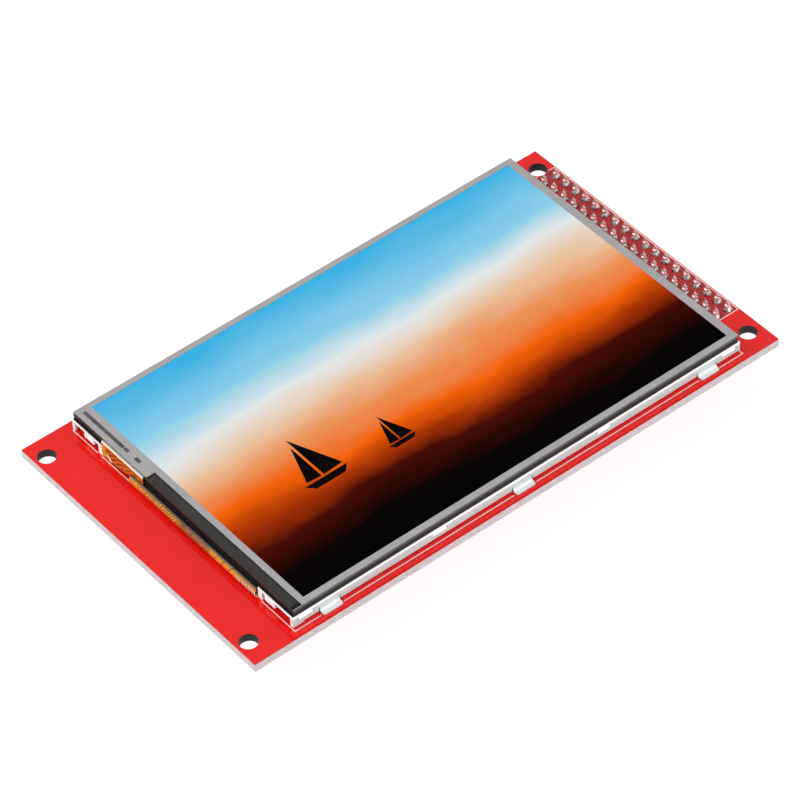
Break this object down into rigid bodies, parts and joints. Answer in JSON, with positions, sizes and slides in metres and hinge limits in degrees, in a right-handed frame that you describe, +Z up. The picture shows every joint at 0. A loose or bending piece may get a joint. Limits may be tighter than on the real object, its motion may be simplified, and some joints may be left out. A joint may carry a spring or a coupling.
{
  "type": "tft display module",
  "caption": "Rectangular colour display module: a resistive touch screen in a steel tray on a red circuit board with corner mounting holes and a two-row pin header.",
  "frame": {"origin": "centre of the rectangle of mounting holes, on the underside of the circuit board", "axes": "+X along the board towards the pin header, +Y towards the far long side, +Z up through the screen"},
  "size_m": [0.1067, 0.061, 0.0139],
  "materials": {
    "board_mask": "glossy red solder mask",
    "white_print": "printed lines",
    "header_plating": "thin gold plating",
    "header_plastic": "moulded black plastic",
    "solder": "bright solder",
    "white_tape": "foam tape",
    "tray_steel": "satin stainless sheet",
    "frame_plastic": "white polycarbonate",
    "reflector": "white reflector",
    "clear_acrylic": "clear acrylic",
    "flex_film": "amber polyimide",
    "led_resin": "lamp body",
    "diffuser": "frosted film",
    "prism_film": "ribbed film",
    "black_tape": "black tape",
    "polariser": "polariser",
    "cell_glass": "thin glass",
    "silicon": "bare silicon",
    "charcoal_tape": "charcoal tape",
    "picture_blue": "lit picture",
    "picture_pale": "lit picture",
    "picture_peach": "lit picture",
    "picture_orange": "lit picture",
    "picture_dusk": "lit picture",
    "picture_dark": "lit picture",
    "touch_glass": "clear glass",
    "touch_film": "clear hard-coated film",
    "grey_ink": "silver-grey ink",
    "dark_ink": "darker traces under the ink",
    "chip_epoxy": "moulded epoxy",
    "tinned_leads": "tinned leads",
    "capacitor_ceramic": "tan ceramic",
    "resistor_glaze": "black glaze"
  },
  "bodies": {
    "root": {"circuit_board": "board_mask", "board_print": "white_print", "header_pins": "header_plating", "header_housing": "header_plastic", "solder_joints": "solder", "mounting_tape": "white_tape", "steel_tray": "tray_steel", "moulded_frame": "frame_plastic", "reflector_sheet": "reflector", "light_guide": "clear_acrylic", "led_flex": "flex_film", "backlight_leds": "led_resin", "diffuser_film": "diffuser", "lower_prism_film": "prism_film", "upper_prism_film": "prism_film", "light_shield": "black_tape", "rear_polariser": "polariser", "display_glass": "cell_glass", "colour_filter_glass": "cell_glass", "front_polariser": "polariser", "driver_chip": "silicon", "display_flex": "flex_film", "flex_solder": "solder", "ledge_cover": "charcoal_tape", "picture_blue_sky": "picture_blue", "picture_pale_sky": "picture_pale", "picture_peach_sky": "picture_peach", "picture_orange_sky": "picture_orange", "picture_dusk": "picture_dusk", "picture_water": "picture_dark", "picture_boats": "picture_dark", "touch_adhesive": "black_tape", "touch_glass": "touch_glass", "touch_spacer": "black_tape", "touch_film": "touch_film", "border_print": "grey_ink", "border_marks": "dark_ink", "touch_flex": "flex_film", "touch_solder": "solder", "bus_chips": "chip_epoxy", "bus_chip_leads": "tinned_leads", "touch_controller": "chip_epoxy", "touch_controller_leads": "tinned_leads", "regulator": "chip_epoxy", "regulator_leads": "tinned_leads", "backlight_transistor": "chip_epoxy", "transistor_leads": "tinned_leads", "card_socket_base": "header_plastic", "card_socket_shell": "tray_steel", "card_socket_contacts": "header_plating", "capacitors": "capacitor_ceramic", "resistors": "resistor_glaze", "chip_end_caps": "tinned_leads"}
  },
  "joints": []
}
